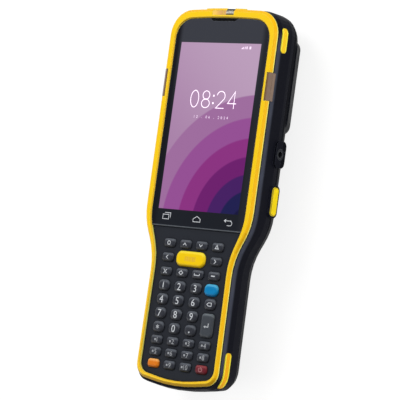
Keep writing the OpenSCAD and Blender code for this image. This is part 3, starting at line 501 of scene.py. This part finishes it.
def glass_border_and_painted_reflection(s, x, y, rounded):
    """Colours of the printed border with a painted reflection: lighter above the picture, other tones at its
    left and right sides, and a pale painted highlight at its foot and edges.
    """
    # Painted reflection: the border grows lighter towards the top and takes its own tone at each side
    painted_brow_reflection = s.smooth(y, PICTURE_MIDDLE, PICTURE_MIDDLE + PICTURE_H / 2)
    border = s.mix(painted_brow_reflection, srgb(28, 31, 38), srgb(58, 60, 68))
    side = PICTURE_W / 2
    border = s.mix(s.smooth(x, -side + 1 * MM, -side - 3 * MM), border, srgb(20, 21, 28))
    border = s.mix(s.smooth(x, side - 1 * MM, side + 3 * MM), border, srgb(36, 38, 44))
    # Painted highlight on the rounded edges
    border = s.mix(s.edge_mask(rounded), border, srgb(112, 116, 128))
    # Painted highlight along the glass's foot
    foot = s.smooth(y, glass_low.y + 0.7 * MM, glass_low.y + 0.5 * MM)
    return s.mix(foot, border, srgb(98, 103, 110))


def screen_glass():
    """Cover glass: dark printed border with painted reflection and highlights, with the lit picture in its
    middle.
    """
    s = Shader("screen_glass")
    x, y, _ = s.axes()
    off_x = s.math("ABSOLUTE", x)
    off_y = s.math("ABSOLUTE", s.math("SUBTRACT", y, PICTURE_MIDDLE))
    inside = s.times(s.smooth(off_x, PICTURE_W / 2 + PICTURE_EDGE, PICTURE_W / 2 - PICTURE_EDGE),
                     s.smooth(off_y, PICTURE_H / 2 + PICTURE_EDGE, PICTURE_H / 2 - PICTURE_EDGE))
    rounded = s.soft_edges(0.3 * MM)
    smudge = s.smooth(s.noise(9 * MM, 4.0, 0.6), 0.4, 0.75)
    return s.surface(
        Base_Color=s.mix(inside, glass_border_and_painted_reflection(s, x, y, rounded), DARK),
        Roughness=s.math("ADD", 0.1, s.times(smudge, 0.06)),
        Specular_IOR_Level=0.04,
        Emission_Color=s.mix(inside, DARK, ring_picture(s, x, y)),
        Emission_Strength=0.97,
        Normal=rounded)


def display_stack():
    """Layers of the display module, which show only at its sides."""
    s = Shader("display_stack")
    fine = s.noise(0.5 * MM)
    return s.surface(Base_Color=s.mix(fine, srgb(120, 96, 126), srgb(140, 116, 146)), Roughness=0.3)


def ink(name, color, glow=0.0):
    """Printed or lit marks."""
    s = Shader(name)
    fine = s.noise(0.3 * MM, 2.0)
    tone = s.mix(s.times(fine, 0.5), color, scaled(color, 0.8))
    return s.surface(Base_Color=tone, Roughness=0.5, Emission_Color=color, Emission_Strength=glow)


materials.update({
    "steel": steel(), "board": board(), "lens_brown": lens_brown(), "lens_status": lens_status(),
    "camera": camera_glass(), "screen": screen_glass(), "display": display_stack(),
    "legend": ink("legend_white", srgb(205, 209, 214)),
    "legend_dark": ink("legend_dark", srgb(232, 184, 0)),
    "legend_dim": ink("legend_dim", srgb(160, 163, 168)),
    "legend_red": ink("legend_red", srgb(178, 118, 120)),
    "icon": ink("icon_white", srgb(200, 203, 208), 0.1),
    "screen_mark": ink("screen_mark", srgb(236, 220, 236), 0.7),
    "screen_dim": ink("screen_dim", srgb(216, 194, 218), 0.6),
})

# Finish of each node; the keys that aren't named here are grey
FINISH = {
    "front_housing": "housing", "rear_housing": "rear", "battery_door": "rear",
    "bumper_rim": "bumper", "corner_inserts": "insert",
    "left_trigger": "trigger", "right_trigger": "trigger",
    "side_lenses": "lens_brown", "status_lens": "lens_status", "earpiece_grille": "trim",
    "display_glass": "screen", "display_panel": "display",
    "keypad_panel": "panel", "keypad_mat": "silicone",
    "main_board": "board", "battery_pack": "battery", "hinge_pin": "steel", "housing_screws": "steel",
    "scan_engine": "engine", "scan_window": "window", "camera_module": "camera",
    "headset_socket": "socket", "key_enter": "key_pale", "key_scan": "key_yellow",
    "key_blue": "key_blue", "key_orange": "key_orange", "key_power": "key_red",
}
for name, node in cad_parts.items():
    finish = materials[FINISH.get(name, "key")]
    if not node.material_slots:
        node.data.materials.append(finish)
    for slot in node.material_slots:
        slot.material = finish


# ---- Pieces --------------------------------------------------------------------------------

def new_object(name, data):
    """An object that is linked to the scene."""
    made = bpy.data.objects.new(name, data)
    bpy.context.scene.collection.objects.link(made)
    return made


def new_piece(name, bm, finish):
    """An object made of the finished bmesh."""
    bmesh.ops.recalc_face_normals(bm, faces=bm.faces)
    mesh = bpy.data.meshes.new(name)
    bm.to_mesh(mesh)
    bm.free()
    mesh.materials.append(materials[finish])
    return new_object(name, mesh)


def extruded_verts(bm, faces):
    """Extrude faces and give the new points."""
    made = bmesh.ops.extrude_face_region(bm, geom=faces)
    return [v for v in made["geom"] if isinstance(v, bmesh.types.BMVert)]


# ---- Flat marks: legends, icons and the picture's signs ------------------------------------

# A mark's height above its surface and its thickness, and how close points are joined into one
LIFT = 0.01 * MM
THICKNESS = 0.03 * MM
WELD = 0.002 * MM
# Edges longer than this are cut in three where a mark follows a dome
LONG_EDGE = 0.5 * MM
# Least cosine at a mitre, so that sharp corners don't grow long points
MITRE_LIMIT = 0.4
# Widths of lines, heights of figures, size of signs and radius of round ones
LINE = 0.42 * MM
TOUCH_LINE = 0.34 * MM
SMALL_FIGURE = 2.6 * MM
TALL_FIGURE = 3.9 * MM
SIGN = 2.2 * MM
ROUND_SIGN = 1.15 * MM


def flat_piece(name, faces, centre, z, finish, body, on=None):
    """Thin solid over flat faces, riding on body. With on, it follows that node's surface."""
    bm = bmesh.new()
    for face in faces:
        bm.faces.new([bm.verts.new((p[0] + centre[0], p[1] + centre[1], z)) for p in face])
    bmesh.ops.remove_doubles(bm, verts=bm.verts, dist=WELD)
    bmesh.ops.recalc_face_normals(bm, faces=bm.faces)
    for face in bm.faces:
        if face.normal.z < 0:
            face.normal_flip()
    if on:
        long_edges = [e for e in bm.edges if e.calc_length() > LONG_EDGE]
        bmesh.ops.subdivide_edges(bm, edges=long_edges, cuts=2)
        bmesh.ops.triangulate(bm, faces=bm.faces)
    for v in extruded_verts(bm, list(bm.faces)):
        v.co.z += THICKNESS
    if on:
        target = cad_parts[on]
        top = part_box(on)[1].z
        for v in bm.verts:
            above = Vector((v.co.x, v.co.y, top + 1 * MM))
            hit, place, _, _ = target.ray_cast(above, Vector((0, 0, -1)))
            if hit:
                v.co.z += place.z - top
    piece = new_piece(name, bm, finish)
    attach(piece, body)


def ribbon(points, width, closed=False):
    """Faces of a line of even width along points, mitred at its corners."""
    count = len(points)
    half = width / 2
    pairs = []
    for i, point in enumerate(points):
        p = Vector(point)
        before = Vector(points[i - 1]) if closed or i > 0 else None
        after = Vector(points[(i + 1) % count]) if closed or i < count - 1 else None
        a = (p - before).normalized() if before is not None else (after - p).normalized()
        b = (after - p).normalized() if after is not None else a
        normal = Vector((-(a.y + b.y), a.x + b.x))
        normal.normalize()
        reach = half / max(MITRE_LIMIT, normal.dot(Vector((-a.y, a.x))))
        pairs.append((p + normal * reach, p - normal * reach))
    quads = [(i, (i + 1) % count) for i in range(count if closed else count - 1)]
    return [[pairs[i][0], pairs[j][0], pairs[j][1], pairs[i][1]] for i, j in quads]


def arc(cx, cy, r, start, end, steps=12, ry=None):
    """Points of an arc between two angles in degrees; with ry, it is that high and r wide."""
    angles = [math.radians(start + (end - start) * i / steps) for i in range(steps + 1)]
    return [(cx + r * math.cos(a), cy + (ry or r) * math.sin(a)) for a in angles]


def chevron(angle):
    """Points of an arrow head that looks up, turned by angle degrees."""
    turn = Matrix.Rotation(math.radians(angle), 2)
    return [turn @ Vector(p) * SIGN for p in ((-0.5, -0.28), (0, 0.28), (0.5, -0.28))]


def millimetres(*points):
    """Points given in millimetres."""
    return [(x * MM, y * MM) for x, y in points]


def shares(*points):
    """Points given as shares of a sign's size."""
    return [(x * SIGN, y * SIGN) for x, y in points]


def dot(x, y, half):
    """A square about x, y."""
    return [[(x - half, y - half), (x + half, y - half), (x + half, y + half), (x - half, y + half)]]


def letter_faces(body, size, spacing=1.0):
    """Faces of a line of figures in the built-in typeface, size high and centred on the origin."""
    curve = bpy.data.curves.new("figures", "FONT")
    curve.body = body
    curve.size = 1.0
    curve.space_character = spacing
    curve.resolution_u = 3
    holder = new_object("figures", curve)
    bpy.context.view_layer.update()
    mesh = holder.evaluated_get(bpy.context.evaluated_depsgraph_get()).to_mesh()
    points = [Vector(v.co[:2]) for v in mesh.vertices]
    low = Vector((min(p.x for p in points), min(p.y for p in points)))
    high = Vector((max(p.x for p in points), max(p.y for p in points)))
    scale = size / (high.y - low.y)
    middle = (low + high) / 2
    faces = [[(points[i] - middle) * scale for i in f.vertices] for f in mesh.polygons]
    bpy.data.objects.remove(holder)
    bpy.data.curves.remove(curve)
    return faces


def numbered(number):
    """Small square mark with a number, for a function key."""
    shift, gap, half = 0.9 * MM, 1.1 * MM, 0.55 * MM
    figures = letter_faces(number, SMALL_FIGURE)
    width = max(p.x for f in figures for p in f) - min(p.x for f in figures for p in f)
    moved = [[p + Vector((shift, 0)) for p in f] for f in figures]
    return moved + dot(shift - width / 2 - gap, 0, half)


def star():
    """Three crossed lines."""
    faces = []
    for angle in (90, 150, 210):
        a = math.radians(angle)
        end = (ROUND_SIGN * math.cos(a), ROUND_SIGN * math.sin(a))
        faces += ribbon([(-end[0], -end[1]), end], LINE * 0.8)
    return faces


SIGNS = {
    "key_up": ribbon(chevron(0), LINE),
    "key_left": ribbon(chevron(90), LINE),
    "key_down": ribbon(chevron(180), LINE),
    "key_right": ribbon(chevron(270), LINE),
    "key_side_left": ribbon(arc(0, 0, 1.0 * MM, 0, 345), LINE),
    "key_side_right": ribbon(shares((-0.5, -1 / 2.6), (0, 0.5), (0.5, -1 / 2.6)), LINE, True),
    "key_escape": ribbon(shares((-0.5, -0.5), (0.5, 0.5)), LINE)
                  + ribbon(shares((-0.5, 0.5), (0.5, -0.5)), LINE),
    "key_control": ribbon(shares((-0.625, 0), (0, 0.5), (0.625, 0), (0, -0.5)), LINE, True),
    "key_space": ribbon(millimetres((-1.76, 0.5), (-1.76, -0.5), (1.76, -0.5), (1.76, 0.5)), LINE),
    "key_minus": ribbon(shares((-0.6, 0), (0.6, 0)), LINE * 1.5),
    "key_backspace": ribbon(shares((-0.7, 0), (-0.2, 0.4), (0.7, 0.4), (0.7, -0.4), (-0.2, -0.4)),
                            LINE * 0.9, True),
    "key_enter": ribbon(shares((0.6, 0.6), (0.6, -0.3), (-0.4, -0.3)), LINE)
                 + [shares((-0.75, -0.3), (-0.3, -0.62), (-0.3, 0.02))],
    "key_star": star(),
    "key_point": dot(0, -0.9 * MM, 0.4 * MM),
    "key_power": ribbon(arc(0, 0, ROUND_SIGN, 125, 415, 18), LINE * 0.85)
                 + ribbon([(0, 0.1 * MM), (0, ROUND_SIGN * 1.2)], LINE * 0.85),
}


def legend(key):
    """Faces and finish of a key's legend; the faces are None where the key is bare."""
    name = key.removeprefix("key_")
    if name.isdigit():
        return letter_faces(name, TALL_FIGURE), "legend"
    if name.startswith("f"):
        return numbered(name.removeprefix("f")), "legend_dim"
    return SIGNS.get(key), "legend_red" if key == "key_power" else "legend"


for key in [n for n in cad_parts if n.startswith("key_")]:
    faces, finish = legend(key)
    if faces:
        low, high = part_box(key)
        name = "legend_" + key.removeprefix("key_")
        flat_piece(name, faces, (low + high) / 2, high.z + LIFT, finish, key, on=key)

# Scan key: a plain pattern of bars in a darker yellow, each with its left side and width in mm
BARS = [(-3.6, 0.5), (-2.7, 0.3), (-2.0, 0.7), (-0.9, 0.3), (-0.2, 0.5), (0.7, 0.3), (1.5, 0.8),
        (2.6, 0.3), (3.3, 0.5)]
BAR_HALF = 1.3
low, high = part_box("key_scan")
faces = [millimetres((x, -BAR_HALF), (x + w, -BAR_HALF), (x + w, BAR_HALF), (x, BAR_HALF)) for x, w in BARS]
flat_piece("legend_scan", faces, (low + high) / 2, high.z + LIFT, "legend_dark", "key_scan")

# Touch marks on the glass, below the picture: place in mm from the middle of the glass's foot, and faces
mark_z = glass_high.z + LIFT
touch_marks = {
    "touch_pages": ((-21.6, 5.4),
                    ribbon(millimetres((-2.6, -1.5), (1.6, -1.5), (1.6, 1.0), (-2.6, 1.0)), TOUCH_LINE, True)
                    + ribbon(millimetres((-1.4, 2.0), (2.7, 2.0), (2.7, -0.6)), TOUCH_LINE)),
    "touch_home": ((0, 5.1),
                   ribbon(millimetres((-2.5, -1.4), (-2.5, 0.2), (0, 1.6), (2.5, 0.2), (2.5, -1.4)),
                          TOUCH_LINE, True)),
    "touch_back": ((21.8, 4.8),
                   ribbon(millimetres((-1.6, 1.0), (1.6, 1.0))
                          + arc(1.6 * MM, -0.3 * MM, 1.3 * MM, 90, -90, 8)
                          + millimetres((-0.4, -1.6)), TOUCH_LINE)
                   + [millimetres((-2.9, 1.0), (-1.4, 0.0), (-1.4, 2.0))]),
}
for name, ((x, y), faces) in touch_marks.items():
    flat_piece(name, faces, (x * MM, glass_low.y + y * MM), mark_z, "icon", "root")


# ---- Clock, date figures and signal marks of the picture -----------------------------------

def thin_digit(kind, w, h):
    """Lines of one clock figure, w wide and h high, from its lower left corner."""
    r = w / 2
    shapes = {
        "0": [arc(r, h / 2, r, 0, 360, 28, h / 2)[:-1]],
        "2": [arc(r, h - r, r, 170, -30, 12) + [(0, 0), (w, 0)]],
        "4": [[(w * 0.78, 0), (w * 0.78, h), (0, h * 0.3), (w * 1.05, h * 0.3)]],
        "8": [arc(r, h * 0.74, r * 0.86, 0, 360, 20, h * 0.25)[:-1],
              arc(r, h * 0.25, r, 0, 360, 20, h * 0.255)[:-1]],
    }
    return shapes[kind]


def clock_faces():
    """The time in thin figures, centred on the origin."""
    h, w, gap, line = 9.4 * MM, 5.6 * MM, 2.4 * MM, 0.46 * MM
    point_off, point_half = h * 0.22, 0.5 * MM
    faces = []
    x = -(4 * w + 4 * gap) / 2
    for figure in "08:24":
        if figure == ":":
            for y in (-point_off, point_off):
                faces += dot(x + 0.1 * MM, y, point_half)
            x += gap
            continue
        for points in thin_digit(figure, w, h):
            faces += ribbon([(px + x, py - h / 2) for px, py in points], line, closed=figure in "08")
        x += w + gap
    return faces


CLOCK_Y = PICTURE_MIDDLE + 15.3 * MM
DATE_Y = PICTURE_MIDDLE + 5.4 * MM
SIGNAL_PLACE = (PICTURE_W / 2 - 3.2 * MM, PICTURE_MIDDLE + PICTURE_H / 2 - 2.4 * MM)
# Signal marks: a wedge, then blocks with their left side, right side and top, in mm from that place
SIGNAL_FOOT = -0.7
SIGNAL_BLOCKS = [(-7.9, -7.3, 0.7), (-6.7, -5.9, 0.8), (-4.6, -3.4, 0.8)]
signal_faces = [millimetres((-10.4, SIGNAL_FOOT), (-8.6, SIGNAL_FOOT), (-8.6, 0.7))]
for left, right, top in SIGNAL_BLOCKS:
    signal_faces.append(millimetres((left, SIGNAL_FOOT), (right, SIGNAL_FOOT), (right, top), (left, top)))
flat_piece("screen_clock", clock_faces(), (0, CLOCK_Y), mark_z, "screen_mark", "root")
flat_piece("screen_date", letter_faces("12 . 06 . 2024", 1.5 * MM, 1.9), (0, DATE_Y), mark_z,
           "screen_dim", "root")
flat_piece("screen_signs", signal_faces, SIGNAL_PLACE, mark_z, "screen_dim", "root")


# ---- Recess beside the status light --------------------------------------------------------

def status_recess():
    """Dark trim piece that fills the notch in the rim's outer edge, beside the silvery window."""
    width, gap, depth, slope = 5.5 * MM, 0.05 * MM, 0.35 * MM, 0.7 * MM
    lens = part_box("status_lens")[1]
    right = lens.x - gap
    back, front = lens.y + gap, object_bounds()[1][1] - depth
    foot, top = glass_low.z, rim_high.z - slope
    outline = [(back, foot), (front, foot), (front, top - slope), (front - slope, top), (back, top)]
    bm = bmesh.new()
    side = bm.faces.new([bm.verts.new((right - width, y, z)) for y, z in outline])
    for v in extruded_verts(bm, [side]):
        v.co.x = right
    bmesh.ops.bevel(bm, geom=list(bm.edges), offset=0.15 * MM, segments=2, affect="EDGES", profile=0.5)
    piece = new_piece("status_recess", bm, "trim")
    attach(piece, "root")


status_recess()


# ---- Stage, light and camera ---------------------------------------------------------------

WHITE = (1.0, 1.0, 1.0, 1.0)
# Strength of the world as light; as background it is 1
WORLD_LEVEL = 0.4
FLOOR_HALF = 6.0
# The floor's colour as it lights the object, and its colour and glow where it shows as background
FLOOR_COLOR = (0.8, 0.8, 0.8, 1.0)
FLOOR_SEEN_COLOR = (0.3, 0.3, 0.3, 1.0)
FLOOR_GLOW = 0.8
LIGHT_TARGET = Vector((0, 0, 0.02))
# The camera's place and turn come from a fit to the outline of the picture and of the keys
CAMERA_PLACE = (0.7568, -0.0795, 0.9575)
CAMERA_RIGHT = Vector((0.7725, 0.1367, -0.6201))
CAMERA_UP = Vector((-0.0651, 0.9885, 0.1368))
CAMERA_LENS = 197.0


def background_rays(tree):
    """1 for rays that show the background: camera, glossy and transmission rays."""
    path = tree.nodes.new("ShaderNodeLightPath").outputs
    shows = path["Is Camera Ray"]
    for kind in ("Is Glossy Ray", "Is Transmission Ray"):
        either = tree.nodes.new("ShaderNodeMath")
        either.operation = "MAXIMUM"
        tree.links.new(shows, either.inputs[0])
        tree.links.new(path[kind], either.inputs[1])
        shows = either.outputs[0]
    return shows


def make_world():
    """White as background, and a dimmer white as light."""
    world = bpy.data.worlds.new("studio")
    world.use_nodes = True
    tree = world.node_tree
    tree.nodes.clear()
    output = tree.nodes.new("ShaderNodeOutputWorld")
    back = tree.nodes.new("ShaderNodeBackground")
    back.inputs["Color"].default_value = WHITE
    level = tree.nodes.new("ShaderNodeMapRange")
    level.inputs["To Min"].default_value = WORLD_LEVEL
    level.inputs["To Max"].default_value = 1.0
    tree.links.new(background_rays(tree), level.inputs["Value"])
    tree.links.new(level.outputs[0], back.inputs["Strength"])
    tree.links.new(back.outputs[0], output.inputs["Surface"])
    bpy.context.scene.world = world


def make_floor():
    """Pale floor that shows white as background and keeps the object's shadow."""
    s = Shader("floor_white")
    pale = s.node("ShaderNodeBsdfDiffuse")
    s.put(pale.inputs["Color"], FLOOR_COLOR)
    seen = s.node("ShaderNodeBsdfDiffuse")
    s.put(seen.inputs["Color"], FLOOR_SEEN_COLOR)
    glow = s.node("ShaderNodeEmission")
    s.put(glow.inputs["Strength"], FLOOR_GLOW)
    both = s.node("ShaderNodeAddShader")
    s.put(both.inputs[0], seen.outputs[0])
    s.put(both.inputs[1], glow.outputs[0])
    pick = s.node("ShaderNodeMixShader")
    s.put(pick.inputs[0], background_rays(s.tree))
    s.put(pick.inputs[1], pale.outputs[0])
    s.put(pick.inputs[2], both.outputs[0])
    s.put(s.output.inputs["Surface"], pick.outputs[0])
    mesh = bpy.data.meshes.new("floor")
    corners = [(-1, -1), (1, -1), (1, 1), (-1, 1)]
    mesh.from_pydata([(x * FLOOR_HALF, y * FLOOR_HALF, 0) for x, y in corners], [], [(0, 1, 2, 3)])
    mesh.materials.append(s.material)
    floor = new_object("floor", mesh)
    floor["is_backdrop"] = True


def area_light(name, place, power, size, size_y=None):
    """A lamp that looks at the object: size metres square, or size by size_y."""
    data = bpy.data.lights.new(name, "AREA")
    data.energy = power
    data.size = size
    if size_y:
        data.shape = "RECTANGLE"
        data.size_y = size_y
    lamp = new_object(name, data)
    lamp.location = place
    lamp.rotation_euler = (LIGHT_TARGET - Vector(place)).to_track_quat("-Z", "Y").to_euler()


def make_camera():
    """The photograph's view."""
    data = bpy.data.cameras.new("camera")
    data.lens = CAMERA_LENS
    data.sensor_width = 36.0
    data.clip_start = 0.01
    camera = new_object("camera", data)
    turn = Matrix((CAMERA_RIGHT, CAMERA_UP, CAMERA_RIGHT.cross(CAMERA_UP))).transposed()
    camera.matrix_world = Matrix.Translation(CAMERA_PLACE) @ turn.to_4x4()
    bpy.context.scene.camera = camera


make_world()
make_floor()
area_light("key_light", (-0.5, 0.7, 0.9), 7.0, 0.7)
area_light("right_light", (1.0, 0.3, 0.35), 6.2, 0.5, 0.9)
area_light("left_light", (-0.9, -0.4, 0.5), 3.5, 0.5, 0.9)
make_camera()
bpy.context.scene.view_settings.view_transform = "Standard"

low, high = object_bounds()
